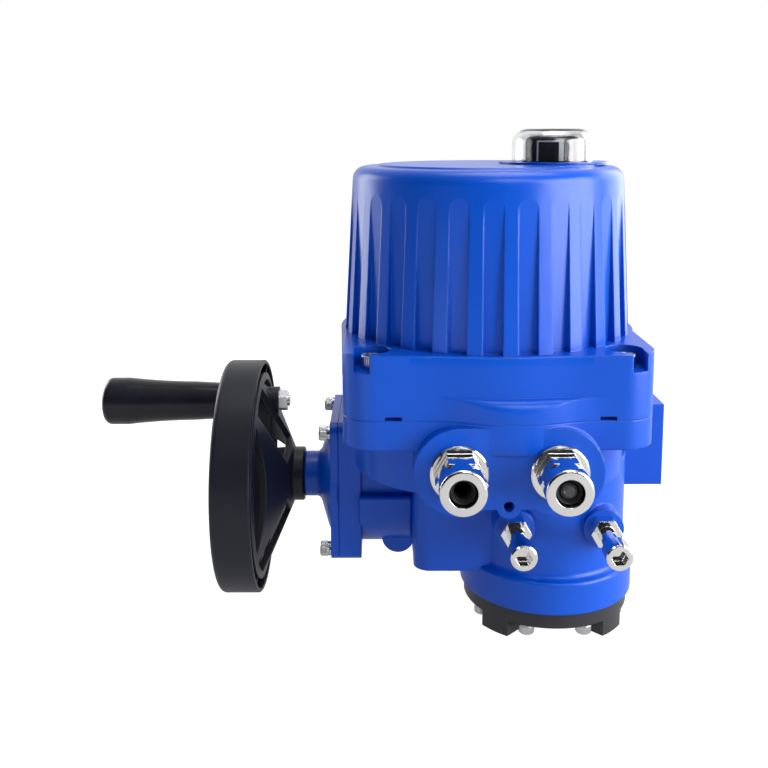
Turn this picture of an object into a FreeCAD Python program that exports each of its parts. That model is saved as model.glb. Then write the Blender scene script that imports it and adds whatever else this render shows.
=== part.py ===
"""Quarter-turn electric actuator with a finned cover, a worm drive and a manual handwheel, in millimetres.

The origin is on the valve's mounting face, at the output axis. X runs away from the handwheel,
Y towards the worm at the back, Z up. The output turns about Z, the worm and the handwheel about X.
"""
import FreeCAD, Part
import math
import os
import Sketcher

Vector = FreeCAD.Vector
Rotation = FreeCAD.Rotation

SIZES = {
    # valve mounting base, PCD 125 for four M12 bolts
    "mount_pcd": 125, "mount_thread": 12, "lug_height": 13.5, "lug_width": 27, "lug_depth": 22,
    "ring_radius": 71.5, "ring_bore": 42.5, "ring_thickness": 13.5, "ring_screws": 8,
    # base casting
    "base_radius": 75, "base_height": 27.6, "base_edge": 3, "barrel_radius": 67.5, "barrel_root": 4.5,
    "chamber_radius": 56, "chamber_roof": 137, "bush_top": 66, "axis_level": 98.5, "worm_offset": 62,
    "tub_bottom": 145, "tub_floor": 153, "tub_half": 112, "tub_corner": 82, "tub_wall": 8,
    "flange_bottom": 183.5, "flange_reach": 7.5, "flange_corner": 26, "parting": 206.5,
    "cover_offset": 55.5, "bulge_offset": 45, "bulge_half": 70, "bulge_depth": 12.5, "bulge_top": 224.6,
    "neck_radius": 50, "neck_right": 62, "gear_bay_radius": 41, "gear_bay_depth": 66,
    "side_flange_half_y": 53, "side_flange_half_z": 64, "side_flange_corner": 9, "side_reach": 16.5,
    "side_bolt_y": 46, "side_bolt_z": 54.5, "side_flange_thickness": 20,
    "side_plate": 7, "bell_height": 12, "bell_foot": 54, "sleeve_outer": 21, "bearing_outer": 21,
    "bearing_width": 12, "gasket": 0.5,
    "pod_left": 118, "pod_front": 42, "pod_bottom": 50, "pod_corner": 14,
    "foot_boss_x": 130.5, "foot_boss_front": 27, "foot_boss_level": 49.7, "foot_boss_radius": 14.8,
    "box_right": 113, "box_front": 34, "box_back": 92, "box_bottom": 97, "box_top": 173,
    # cable entries
    "gland_left": 87.3, "gland_right": 12.5, "gland_level": 169.7, "pad_radius": 34, "pad_reach": 10.5,
    "pad_bar_drop": 28.7, "entry_radius": 12.5, "earth_level": 143.5, "earth_boss": 9.5, "earth_thread": 8,
    "gland_hole": 10.4, "gland_flange": 22, "gland_foot": 4, "gland_flats": 33, "gland_hex": 8,
    "gland_length": 41, "gland_tip": 17.2, "gland_cap_hex": 12,
    # travel stops
    "stop_spread": 36.5, "stop_boss_radius": 16.5, "stop_boss_reach": 0.5, "stop_thread": 14, "stop_end": 21,
    "stop_head_reach": 54, "stop_head_radius": 10.4, "stop_head_height": 16, "stop_nut_flat": 22,
    "stop_nut_height": 11,
    # finned cover
    "cover_flange_top": 256.2, "belly_reach": 4.5, "rib_foot_step": 3.7, "cover_draft": 10.6,
    "rim_level": 381.4, "shoulder": 11, "disc_inset": 21.4, "disc_rise": 1.5, "flute_inset": 10.1,
    "flute_width": 15, "rib_count": 28, "first_rib_angle": 3.2, "cover_wall": 13.5, "cavity_draft": 4.5,
    "cover_roof": 6.4, "bolt_inset": 23, "cover_thread": 10, "well_radius": 14, "notch_depth": 13.4,
    "notch_width": 12, "notch_inset": 15.5, "pry_width": 12.5, "pry_height": 3, "pry_depth": 6,
    "pry_offset": 80.5,
    "seal_depth": 2.8, "seal_width": 4, "seal_inset": 3.5,
    # window
    "dome_radius": 34, "dome_wall": 4, "dome_height": 29, "dome_round": 13, "dome_foot": 39,
    "dome_foot_height": 3, "bezel_radius": 45, "bezel_height": 1.8, "window_radius": 28,
    "bezel_screw_circle": 42, "drum_radius": 18, "drum_height": 23,
    # worm drive
    "gear_module": 2.6316, "wheel_teeth": 38, "worm_pitch_radius": 12, "wheel_width": 20, "worm_length": 44,
    "mesh_gap": 0.45, "sleeve_radius": 28, "bore_radius": 16, "bore_depth": 52, "key_width": 10,
    "sleeve_bottom": 20, "collar_radius": 34, "wheel_hub": 34, "bush_wall": 5, "running_gap": 0.05,
    "plate_thickness": 8, "plate_radius": 48, "plate_screw_circle": 43, "opening_radius": 38,
    "carrier_thickness": 14, "stem_radius": 6, "stop_play": 0.3,
    # spur train from the motor
    "spur_module": 2, "worm_gear_teeth": 36, "idler_teeth": 28, "pinion_teeth": 12, "spur_width": 12,
    "spur_inset": 48, "spur_gap": 0.3, "train_lean": 9, "idler_axle": 5,
    "motor_radius": 36, "motor_step": 25, "motor_right": 8, "rotor_radius": 24, "rotor_shaft": 5,
    "bracket_thickness": 4, "bracket_height": 84,
    # electrics on the chassis plate
    "chassis_level": 250, "chassis_thickness": 3, "post_inset": 7, "capacitor_radius": 17, "cam_radius": 15,
    # handwheel
    "wheel_radius": 107.5, "rim_width": 35, "hub_reach": 34.3, "hub_radius": 25, "hub_length": 27,
    "rim_reach": 38.5, "rim_depth": 15.5, "rim_wall": 3.4, "web_thickness": 6, "shaft_radius": 10,
    "web_root": 9.5, "slot_angle": 97, "slot_width": 38, "slot_start": 30, "window_outer": 89,
    "window_chord": 69, "handle_seat": 44, "handle_radius": 70, "handle_angle": 5.5,
    "grip_radius": 22, "grip_root": 16.6, "grip_reach": 188.2, "axle_radius": 5,
}

doc = FreeCAD.newDocument("electric_actuator")
sheet = doc.addObject("Spreadsheet::Sheet", "sizes")
for row, (alias, number) in enumerate(SIZES.items(), start=1):
    sheet.set(f"A{row}", alias)
    sheet.set(f"B{row}", str(number))
    sheet.setAlias(f"B{row}", alias)
doc.recompute()


class Size:
    """A number of the sheet, or one worked out from it: the text binds an object, the value draws it."""

    def __init__(self, text, value):
        self.text = text
        self.value = float(value)

    def __add__(self, other):
        other = size(other)
        return Size(f"({self.text} + {other.text})", self.value + other.value)

    def __sub__(self, other):
        other = size(other)
        return Size(f"({self.text} - {other.text})", self.value - other.value)

    def __mul__(self, other):
        other = size(other)
        return Size(f"({self.text} * {other.text})", self.value * other.value)

    def __truediv__(self, other):
        other = size(other)
        return Size(f"({self.text} / {other.text})", self.value / other.value)

    def __rsub__(self, other):
        return size(other) - self

    def __rtruediv__(self, other):
        return size(other) / self

    def __neg__(self):
        return Size(f"(0 - {self.text})", -self.value)

    __radd__ = __add__
    __rmul__ = __mul__


def size(number):
    if isinstance(number, Size):
        return number
    return Size(f"({number})", number)


def cosine(angle):
    return Size(f"cos({size(angle).text})", math.cos(math.radians(size(angle).value)))


def sine(angle):
    return Size(f"sin({size(angle).text})", math.sin(math.radians(size(angle).value)))


def arctangent(slope):
    return Size(f"atan({slope.text})", math.degrees(math.atan(slope.value)))


def root(number):
    return Size(f"sqrt({size(number).text})", math.sqrt(size(number).value))


class Sheet:
    """Reads a driving size by its name, such as at.parting."""

    def __getattr__(self, alias):
        return Size(f"sizes.{alias}", sheet.get(alias))


at = Sheet()

SCREW_LEAN = math.radians(40)
FACING = {
    "up": Rotation(),
    "down": Rotation(Vector(1, 0, 0), 180),
    "front": Rotation(Vector(1, 0, 0), 90),
    "left": Rotation(Vector(0, 1, 0), -90),
    "right": Rotation(Vector(0, 1, 0), 90),
    "hub_hole": Rotation(Vector(0, 0, 1), Vector(-math.sin(SCREW_LEAN), -math.cos(SCREW_LEAN), 0)),
    "hub_screw": Rotation(Vector(1, 0, 0), 90 + math.degrees(SCREW_LEAN)),
}


def place(item, spot, facing="up"):
    """Puts an object at a bound spot, its own Z axis turned to face one way."""
    item.Placement = FreeCAD.Placement(Vector(), FACING[facing])
    for axis, step in zip("xyz", spot):
        item.setExpression(f"Placement.Base.{axis}", size(step).text)


def circle(sketch, radius, x=0, y=0):
    x = size(x)
    y = size(y)
    index = sketch.addGeometry(Part.Circle(Vector(x.value, y.value, 0), Vector(0, 0, 1), size(radius).value))
    bind(sketch, Sketcher.Constraint("Radius", index, size(radius).value), radius)
    bind(sketch, Sketcher.Constraint("DistanceX", index, 3, x.value), x)
    bind(sketch, Sketcher.Constraint("DistanceY", index, 3, y.value), y)


def bind(sketch, constraint, length):
    index = sketch.addConstraint(constraint)
    sketch.setExpression(f"Constraints[{index}]", size(length).text)


def outline(sketch, corners):
    """Draws a closed outline. A corner is (x, y), or (x, y, radius) where an arc leads to it:
    a radius above zero bends to the left of the way it runs, below zero to the right."""
    spots = [(size(corner[0]), size(corner[1])) for corner in corners]
    ends = []
    for number, corner in enumerate(corners):
        start = Vector(spots[number - 1][0].value, spots[number - 1][1].value, 0)
        end = Vector(spots[number][0].value, spots[number][1].value, 0)
        if len(corner) == 2:
            index = sketch.addGeometry(Part.LineSegment(start, end))
            ends.append((index, 1, 2))
            continue
        radius = abs(size(corner[2]).value)
        left = size(corner[2]).value > 0
        chord = end - start
        rise = math.sqrt(max(radius ** 2 - (chord.Length / 2) ** 2, 0))
        side = Vector(-chord.y, chord.x, 0).normalize() * (rise if left else -rise)
        centre = (start + end) * 0.5 + side
        first, last = (start, end) if left else (end, start)
        angles = [math.atan2(point.y - centre.y, point.x - centre.x) for point in (first, last)]
        bow = Part.ArcOfCircle(Part.Circle(centre, Vector(0, 0, 1), radius), *angles)
        index = sketch.addGeometry(bow)
        ends.append((index, 1, 2) if left else (index, 2, 1))
        reach = size(corner[2]) if left else -size(corner[2])
        bind(sketch, Sketcher.Constraint("Radius", index, radius), reach)
    for number, (x, y) in enumerate(spots):
        index, _, tail = ends[number]
        following, head, _ = ends[(number + 1) % len(ends)]
        sketch.addConstraint(Sketcher.Constraint("Coincident", index, tail, following, head))
        bind(sketch, Sketcher.Constraint("DistanceX", index, tail, x.value), x)
        bind(sketch, Sketcher.Constraint("DistanceY", index, tail, y.value), y)


def rounded(sketch, half_x, half_y, corner):
    """Draws a rectangle with round corners about the sketch's origin."""
    flat_x = half_x - corner
    flat_y = half_y - corner
    outline(sketch, [
        (flat_x, -half_y), (half_x, -flat_y, corner), (half_x, flat_y), (flat_x, half_y, corner),
        (-flat_x, half_y), (-half_x, flat_y, corner), (-half_x, -flat_y), (-flat_x, -half_y, corner),
    ])


class Piece:
    """One sub-part: a body and the features that shape it, drawn about its own origin."""

    def __init__(self, name):
        self.name = name
        self.body = doc.addObject("PartDesign::Body", name)
        self.body.Label = name

    def origin(self, role):
        return next(item for item in self.body.Origin.OriginFeatures if item.Role == role)

    def feature(self, kind):
        return self.body.newObject(kind, f"{self.name}_{kind.split('::')[1]}")

    def sketch(self, role="XY_Plane", x=0, y=0, z=0, turn=0):
        sketch = self.feature("Sketcher::SketchObject")
        sketch.AttachmentSupport = (self.origin(role), [""])
        sketch.MapMode = "FlatFace"
        turned = Rotation(Vector(0, 0, 1), size(turn).value)
        sketch.AttachmentOffset = FreeCAD.Placement(Vector(), turned)
        for axis, step in zip("xyz", (x, y, z)):
            sketch.setExpression(f"AttachmentOffset.Base.{axis}", size(step).text)
        if size(turn).value:
            sketch.setExpression("AttachmentOffset.Rotation.Angle", size(turn).text)
        return sketch

    def extrude(self, sketch, length, cut=False, back=False):
        feature = self.feature("PartDesign::Pocket" if cut else "PartDesign::Pad")
        feature.Profile = sketch
        feature.setExpression("Length", size(length).text)
        feature.Reversed = back
        return feature

    def revolve(self, corners, cut=False, x=0, y=0):
        """Turns an outline of (radius, height) corners about a line along Z."""
        sketch = self.sketch("XZ_Plane", x=x, z=-size(y))
        outline(sketch, corners)
        feature = self.feature("PartDesign::Groove" if cut else "PartDesign::Revolution")
        feature.Profile = sketch
        feature.ReferenceAxis = (sketch, ["V_Axis"])
        feature.Angle = 360
        return feature

    def rod(self, radius, length, spot, facing="up", cut=False):
        feature = self.feature("PartDesign::SubtractiveCylinder" if cut else "PartDesign::AdditiveCylinder")
        feature.setExpression("Radius", size(radius).text)
        feature.setExpression("Height", size(length).text)
        place(feature, spot, facing)
        return feature

    def block(self, low, high, cut=False):
        feature = self.feature("PartDesign::SubtractiveBox" if cut else "PartDesign::AdditiveBox")
        for side, start, end in zip(("Length", "Width", "Height"), low, high):
            feature.setExpression(side, (size(end) - start).text)
        place(feature, low)
        return feature

    def repeat(self, features, count, axis="Z_Axis"):
        doc.recompute()
        pattern = self.feature("PartDesign::PolarPattern")
        pattern.Originals = features
        pattern.Axis = (self.origin(axis), [""])
        pattern.Angle = 360
        pattern.setExpression("Occurrences", size(count).text)
        self.body.Tip = pattern
        return pattern

    def soften(self, radius, choose, chamfer=False):
        """Rounds or bevels the edges that the given test picks."""
        doc.recompute()
        base = self.body.Tip
        edges = [f"Edge{n}" for n, edge in enumerate(base.Shape.Edges, start=1) if choose(edge)]
        feature = self.feature("PartDesign::Chamfer" if chamfer else "PartDesign::Fillet")
        feature.Base = (base, edges)
        feature.setExpression("Size" if chamfer else "Radius", size(radius).text)
        self.body.Tip = feature
        return feature


nodes = []


def finish(piece, spot=(0, 0, 0), facing="up"):
    """Puts a body in its place and hands it in as a node."""
    place(piece.body, spot, facing)
    nodes.append(piece.body)


def group(name, piece, spots, facing="up"):
    """Hands in copies of one body as a node of separate solids."""
    copies = []
    for number, spot in enumerate(spots, start=1):
        copy = doc.addObject("App::Link", f"{name}_copy_{number}")
        copy.LinkedObject = piece.body
        place(copy, spot, facing)
        copies.append(copy)
    piece.body.Label = f"{name} pattern"
    bundle = doc.addObject("Part::Compound", name)
    bundle.Links = copies
    bundle.Label = name
    nodes.append(bundle)


def turned(name, corners):
    piece = Piece(name)
    piece.revolve(corners)
    return piece


def hexagon(sketch, flats):
    """Draws a hexagon of the given width across flats."""
    radius = size(flats) / 2 / cosine(30)
    outline(sketch, [(radius * cosine(60 * step), radius * sine(60 * step)) for step in range(6)])


def cap_screw(name, thread, length, head=None, height=None):
    """A hexagon socket screw: its seat is the origin, its head points along Z."""
    thread = size(thread)
    head = size(head) if head is not None else thread * 0.8
    height = size(height) if height is not None else thread
    edge = thread * 0.08
    piece = turned(name, [
        (0, -size(length)), (thread / 2 - edge, -size(length)), (thread / 2, edge - length), (thread / 2, 0),
        (head, 0), (head, height - edge), (head - edge, height), (0, height),
    ])
    socket = piece.sketch(z=height)
    hexagon(socket, thread * 0.8)
    piece.extrude(socket, height * 0.5, cut=True)
    return piece


def spring_washer(name, thread):
    thread = size(thread)
    inner, outer, height = thread * 0.53, thread * 0.79, thread * 0.25
    return turned(name, [(inner, 0), (outer, 0), (outer, height), (inner, height)])


def polar(radius, angle):
    return size(radius) * cosine(angle), size(radius) * sine(angle)


def ring_spots(radius, count, first, level):
    """Spots evenly spaced on a circle about Z."""
    return [(*polar(radius, first + 360 * n / count), size(level)) for n in range(count)]


# levels and places that several pieces share
ring_top = at.lug_height + at.ring_thickness
base_top = ring_top + at.base_height
cover_x = -at.cover_offset
flange_half = at.tub_half + at.flange_reach
pad_face = flange_half + at.pad_reach
side_face = at.cover_offset + at.tub_half + at.side_reach
hub_face = side_face + at.hub_reach
rim_face = hub_face + at.rim_reach
belly_radius = flange_half + at.belly_reach
rim_radius = belly_radius - at.cover_draft
cover_bolt = flange_half - at.bolt_inset
seal_half = at.tub_half - at.seal_inset
chassis_radius = at.tub_half - at.tub_wall
stop_boss_face = at.barrel_radius + at.stop_boss_reach
spur_left = side_face - at.spur_inset
motor_left = spur_left - at.motor_step
worm_axis = (0, at.worm_offset, at.axis_level)
bulge_radius = (at.bulge_half * at.bulge_half + at.bulge_depth * at.bulge_depth) / (at.bulge_depth * 4)
cover_bolt_spots = [(cover_x + sx * cover_bolt, sy * cover_bolt) for sx in (-1, 1) for sy in (-1, 1)]
wheel_pitch = at.gear_module * at.wheel_teeth / 2
lead_angle = arctangent(at.gear_module / (at.worm_pitch_radius * 2))
hub_bottom = at.axis_level - 12
hub_top = at.axis_level + 20
first_gears = at.spur_module * (at.worm_gear_teeth + at.idler_teeth) / 2
both_gears = first_gears + at.spur_module * (at.idler_teeth + at.pinion_teeth) / 2
idler_axis = (0, at.worm_offset - first_gears * sine(at.train_lean),
              at.axis_level + first_gears * cosine(at.train_lean))
motor_axis = (0, at.worm_offset - both_gears * sine(at.train_lean),
              at.axis_level + both_gears * cosine(at.train_lean))
bracket_left = -motor_left - at.bracket_thickness
side_bolt_spots = [(at.worm_offset + sy * at.side_bolt_y, at.axis_level + sz * at.side_bolt_z)
                   for sy in (-1, 1) for sz in (-1, 1)]


# base ring: the black adaptor between valve and casting, with four lugs that take the valve's bolts
def base_ring():
    piece = Piece("base_ring")
    ring = piece.sketch(z=at.lug_height)
    circle(ring, at.ring_radius)
    circle(ring, at.ring_bore)
    piece.extrude(ring, at.ring_thickness)
    lug = piece.sketch(turn=45)
    outer = root(at.ring_radius * at.ring_radius - at.lug_width * at.lug_width / 4)
    outline(lug, [
        (outer - at.lug_depth, -at.lug_width / 2), (outer, -at.lug_width / 2),
        (outer, at.lug_width / 2, at.ring_radius), (outer - at.lug_depth, at.lug_width / 2),
    ])
    lugs = piece.extrude(lug, at.lug_height + 1)
    piece.repeat([lugs], 4)
    hole = piece.rod(at.mount_thread / 2, ring_top, (*polar(at.mount_pcd / 2, 45), 0), cut=True)
    piece.repeat([hole], 4)
    screw = piece.rod(4.3, ring_top, (*polar(at.mount_pcd / 2, 22.5), 0), cut=True)
    piece.repeat([screw], at.ring_screws)
    finish(piece)


# base casting: barrel for the worm wheel, neck for the worm, tub for the motor and the wiring
def base_casting():
    piece = Piece("base_casting")
    barrel_foot = at.barrel_radius + at.barrel_root
    piece.revolve([
        (0, ring_top), (at.base_radius, ring_top), (at.base_radius, base_top - at.base_edge),
        (at.base_radius - at.base_edge, base_top, at.base_edge), (barrel_foot - 0.01, base_top),
        (at.barrel_radius, base_top + at.barrel_root, -at.barrel_root),
        (at.barrel_radius, at.tub_bottom + 1), (0, at.tub_bottom + 1),
    ])
    tub = piece.sketch(x=cover_x, z=at.tub_bottom)
    rounded(tub, at.tub_half, at.tub_half, at.tub_corner)
    piece.extrude(tub, at.parting - at.tub_bottom)
    flange = piece.sketch(x=cover_x, z=at.flange_bottom)
    rounded(flange, flange_half, flange_half, at.flange_corner)
    piece.extrude(flange, at.parting - at.flange_bottom)
    bulge(piece, at.flange_bottom, at.parting, -at.bulge_offset)
    neck_left = at.side_flange_thickness - side_face - 1
    neck = piece.sketch("YZ_Plane", x=at.worm_offset, y=at.axis_level, z=neck_left)
    top = at.tub_bottom - at.axis_level + 1
    outline(neck, [
        (-at.neck_radius, top), (-at.neck_radius, 0), (0, -at.neck_radius, at.neck_radius),
        (at.neck_radius, 0, at.neck_radius), (at.neck_radius, top),
    ])
    piece.extrude(neck, at.neck_right - neck_left)
    side = piece.sketch("YZ_Plane", x=at.worm_offset, y=at.axis_level, z=-side_face)
    rounded(side, at.side_flange_half_y, at.side_flange_half_z, at.side_flange_corner)
    piece.extrude(side, at.side_flange_thickness)
    pod = piece.sketch(z=at.pod_bottom)
    outline(pod, [
        (-at.barrel_radius + 20, at.worm_offset), (-at.pod_left, at.worm_offset),
        (-at.pod_left, at.pod_corner - at.pod_front),
        (at.pod_corner - at.pod_left, -at.pod_front, at.pod_corner),
        (-at.barrel_radius + 20, -at.pod_front),
    ])
    piece.extrude(pod, at.tub_bottom - at.pod_bottom + 1)
    boss_spot = (-at.foot_boss_x, at.worm_offset, at.foot_boss_level)
    piece.rod(at.foot_boss_radius, at.worm_offset - at.foot_boss_front, boss_spot, "front")
    piece.block((45, at.box_front, at.box_bottom), (at.box_right, at.box_back, at.box_top))
    for x in (-at.gland_left, -at.gland_right):
        piece.rod(at.pad_radius, pad_face - 100, (x, -100, at.gland_level), "front")
    piece.block((-at.gland_left, -pad_face, at.gland_level - at.pad_bar_drop),
                (-at.gland_right, -100, at.gland_level + at.pad_radius))
    middle = -(at.gland_left + at.gland_right) / 2
    piece.rod(at.earth_boss, pad_face - 100, (middle, -100, at.earth_level), "front")
    for side_sign in (-1, 1):
        spot = (side_sign * at.stop_spread, -40, at.axis_level)
        piece.rod(at.stop_boss_radius, stop_boss_face - 40, spot, "front")
    hollow_casting(piece, middle)
    finish(piece)


def bulge(piece, low, high, x):
    """The swelling of the front wall that carries the cable entries: it rises and falls in equal arcs."""
    swell = piece.sketch(z=low, x=x)
    back = 3 - flange_half
    side = at.bulge_half / 2
    middle = -flange_half - at.bulge_depth / 2
    top = -flange_half - at.bulge_depth
    outline(swell, [
        (-at.bulge_half, back), (-at.bulge_half, -flange_half), (-side, middle, -bulge_radius),
        (0, top, bulge_radius), (side, middle, bulge_radius), (at.bulge_half, -flange_half, -bulge_radius),
        (at.bulge_half, back),
    ])
    return piece.extrude(swell, high - low)


def hollow_casting(piece, middle):
    tub = piece.sketch(x=cover_x, z=at.tub_floor)
    inside = at.tub_half - at.tub_wall
    rounded(tub, inside, inside, at.tub_corner - at.tub_wall)
    piece.extrude(tub, at.parting - at.tub_floor, cut=True, back=True)
    piece.rod(at.chamber_radius, at.chamber_roof - ring_top + 1, (0, 0, ring_top - 1), cut=True)
    piece.rod(at.opening_radius, at.tub_floor, (0, 0, ring_top), cut=True)
    bearing_seat = 21
    left = -side_face - 1
    piece.rod(bearing_seat, side_face + at.neck_right - 7, (left, *worm_axis[1:]), "right", cut=True)
    piece.rod(at.gear_bay_radius, at.gear_bay_depth, (left, *worm_axis[1:]), "right", cut=True)
    idler_bay = at.spur_module * at.idler_teeth / 2 + 3
    piece.block((-spur_left - 3, idler_axis[1] - idler_bay, at.axis_level),
                (at.gear_bay_depth - side_face - 1, idler_axis[1] + idler_bay, at.tub_floor + 1), cut=True)
    for x in (-at.gland_left, -at.gland_right):
        piece.rod(at.entry_radius, pad_face - 90, (x, -90, at.gland_level), "front", cut=True)
        piece.rod(at.gland_flange + 0.6, 20, (x, -pad_face, at.gland_level), "front", cut=True)
    piece.rod(at.earth_thread / 2, 14, (middle, 14 - pad_face, at.earth_level), "front", cut=True)
    for side_sign in (-1, 1):
        spot = (side_sign * at.stop_spread, -30, at.axis_level)
        piece.rod(at.stop_thread / 2 + 0.02, stop_boss_face, spot, "front", cut=True)
    hole = piece.rod(4, 16, (*polar(at.mount_pcd / 2, 22.5), ring_top - 1), cut=True)
    piece.repeat([hole], at.ring_screws)
    for x, y in cover_bolt_spots:
        piece.rod(at.cover_thread / 2, 26, (x, y, at.parting - 25), cut=True)
    for y, z in side_bolt_spots:
        piece.rod(4, 20, (left, y, z), "right", cut=True)
    for x, y, z in ring_spots(at.plate_screw_circle, 4, 0, at.tub_floor - 6):
        piece.rod(2.5, 7, (x, y, z), cut=True)
    groove = piece.sketch(x=cover_x, z=at.parting)
    seal_outline(groove, 0)
    piece.extrude(groove, at.seal_depth, cut=True)


def seal_outline(sketch, gap):
    """The two edges of the cover seal, a ring that stays inside the bolts."""
    corner = at.tub_corner - at.tub_half + seal_half
    outer = at.seal_width / 2 - gap
    rounded(sketch, seal_half + outer, seal_half + outer, corner + outer)
    rounded(sketch, seal_half - outer, seal_half - outer, corner - outer)


def cover_seal():
    piece = Piece("cover_seal")
    ring = piece.sketch(x=cover_x, z=at.parting - at.seal_depth)
    seal_outline(ring, 0.1)
    piece.extrude(ring, at.seal_depth - 0.02)
    finish(piece)


# top cover: a drafted bowl with ribs that fade out under its shoulder, on a square bolting flange
def top_cover():
    piece = Piece("top_cover")
    top = at.rim_level + at.shoulder
    disc = rim_radius - at.disc_inset
    piece.revolve([
        (0, at.parting), (belly_radius - 3, at.parting), (belly_radius, at.parting + 8),
        (belly_radius, at.cover_flange_top), ((belly_radius - at.rib_foot_step), at.cover_flange_top),
        (rim_radius, at.rim_level), (rim_radius - at.shoulder, top, at.shoulder),
        (disc, top), (disc - at.disc_rise, top + at.disc_rise), (0, top + at.disc_rise),
    ])
    flange = piece.sketch(z=at.parting)
    rounded(flange, flange_half, flange_half, at.flange_corner)
    piece.extrude(flange, at.cover_flange_top - at.parting)
    bulge(piece, at.parting, at.bulge_top, at.cover_offset - at.bulge_offset)
    soft_top = piece.sketch("YZ_Plane", z=-flange_half)
    drop = at.bulge_depth + 1
    outline(soft_top, [
        (-flange_half, at.bulge_top + 1), (-flange_half, at.bulge_top),
        (-flange_half - drop, at.bulge_top - drop, 16), (-flange_half - drop, at.bulge_top + 1),
    ])
    piece.extrude(soft_top, flange_half * 2, cut=True, back=True)
    cavity = belly_radius - at.cover_wall
    cavity_rim = cavity - at.cavity_draft
    piece.revolve([
        (0, at.parting - 1), (cavity, at.parting - 1), (cavity, at.cover_flange_top),
        (cavity_rim, at.rim_level - 7), (cavity_rim - 9, top - at.cover_roof, 9.4),
        (0, top - at.cover_roof),
    ], cut=True)
    flute_turn = 180 + at.first_rib_angle + 180 / at.rib_count
    flute_floor = belly_radius - at.flute_inset
    flute = piece.sketch(z=at.cover_flange_top, turn=flute_turn)
    outline(flute, [
        (-at.flute_width / 2, flute_floor), (at.flute_width / 2, flute_floor),
        (at.flute_width / 2, belly_radius + 4), (-at.flute_width / 2, belly_radius + 4),
    ])
    flutes = piece.extrude(flute, at.rim_level - at.cover_flange_top, cut=True, back=True)
    piece.repeat([flutes], at.rib_count)
    cover_notches(piece)
    window = (at.cover_offset, 0, top - at.cover_roof - 1)
    piece.rod(at.window_radius, at.cover_roof + 4, window, cut=True)
    seat = (at.cover_offset, 0, top + at.disc_rise - at.dome_foot_height)
    piece.rod(at.dome_foot + 0.2, at.dome_foot_height + 1, seat, cut=True)
    for x, y, z in ring_spots(at.bezel_screw_circle, 4, 20, top + at.disc_rise - 5):
        piece.rod(1.5, 10, (x + at.cover_offset, y, z), cut=True)
    finish(piece, (cover_x, 0, 0))


def cover_notches(piece):
    """Wells for the four bolts, each open to the front or the back, and slots to pry the cover off."""
    floor = at.cover_flange_top - at.notch_depth
    middle = flange_half - at.notch_inset
    for sx in (-1, 1):
        for sy in (-1, 1):
            x, y = sx * cover_bolt, sy * cover_bolt
            piece.rod(at.well_radius, at.notch_depth + 1, (x, y, floor), cut=True)
            ends = sorted((y, sy * (flange_half + 1)), key=lambda end: end.value)
            piece.block((sx * middle - at.notch_width / 2, ends[0], floor),
                        (sx * middle + at.notch_width / 2, ends[1], at.cover_flange_top + 1), cut=True)
            piece.rod(at.cover_thread / 2 + 0.3, 60, (x, y, at.parting - 1), cut=True)
    for x in (-at.pry_offset, at.pry_offset):
        piece.block((x - at.pry_width / 2, -flange_half - 1, at.parting - 1),
                    (x + at.pry_width / 2, at.pry_depth - flange_half, at.parting + at.pry_height), cut=True)


def cover_bolts():
    seat = at.cover_flange_top - at.notch_depth
    bolt = cap_screw("cover_bolt", at.cover_thread, seat - at.parting + 22, at.cover_thread * 0.9, 9.5)
    group("cover_bolts", bolt, [(x, y, seat) for x, y in cover_bolt_spots])


# window: a clear dome over the position indicator, held by a bezel with four screws
def window():
    top = at.rim_level + at.shoulder + at.disc_rise
    foot = top - at.dome_foot_height
    inner = at.dome_radius - at.dome_wall
    roof = top + at.dome_height
    dome = turned("indicator_dome", [
        (inner, foot), (at.dome_foot, foot), (at.dome_foot, top), (at.dome_radius, top),
        (at.dome_radius, roof - at.dome_round), (at.dome_radius - at.dome_round, roof, at.dome_round),
        (0, roof), (0, roof - at.dome_wall),
        (inner + at.dome_wall - at.dome_round, roof - at.dome_wall),
        (inner, roof - at.dome_round, at.dome_wall - at.dome_round),
    ])
    finish(dome)
    bezel = turned("dome_bezel", [
        (at.dome_radius + 0.15, top), (at.bezel_radius, top), (at.bezel_radius, top + at.bezel_height),
        (at.dome_radius + 0.15, top + at.bezel_height),
    ])
    for x, y, z in ring_spots(at.bezel_screw_circle, 4, 20, top):
        bezel.rod(1.6, 5, (x, y, z - 1), cut=True)
        bezel.rod(2.7, 5, (x, y, z + 0.4), cut=True)
    finish(bezel)
    spots = ring_spots(at.bezel_screw_circle, 4, 20, top + 0.4)
    group("bezel_screws", cap_screw("bezel_screw", 3, 5, 2.5, at.bezel_height - 0.4), spots)
    drum = turned("indicator_drum", [
        (0, top + 1), (at.drum_radius, top + 1), (at.drum_radius, top + at.drum_height - 8),
        (at.drum_radius - 8, top + at.drum_height, 8), (0, top + at.drum_height),
    ])
    finish(drum)


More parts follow.
